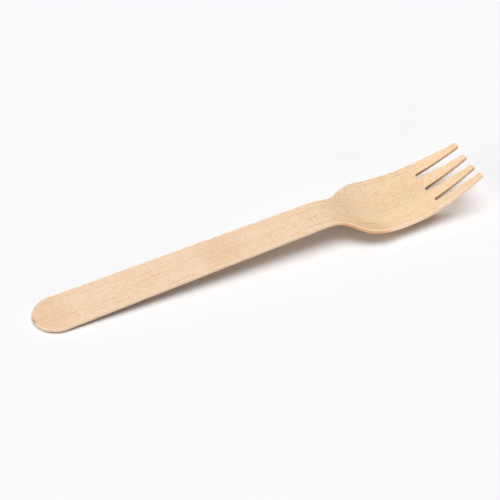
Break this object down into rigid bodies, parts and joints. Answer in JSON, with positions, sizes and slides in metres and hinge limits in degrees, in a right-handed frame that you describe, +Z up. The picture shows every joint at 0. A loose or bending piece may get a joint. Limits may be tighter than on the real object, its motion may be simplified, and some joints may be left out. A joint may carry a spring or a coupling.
{
  "type": "wooden fork",
  "caption": "Disposable birch veneer fork with a flat tapering handle, a pressed shallow bowl and tapered tines.",
  "frame": {"origin": "under the middle of the fork's box, on the surface that it lies on", "axes": "+X along the handle towards the tine tips, +Z up, the hollow of the bowl facing up, and the fork the same on both sides of the plane y = 0"},
  "size_m": [0.16, 0.0284, 0.0124],
  "materials": {
    "birch": "bare sanded birch veneer, dull"
  },
  "bodies": {
    "root": {"fork": "birch"}
  },
  "joints": []
}
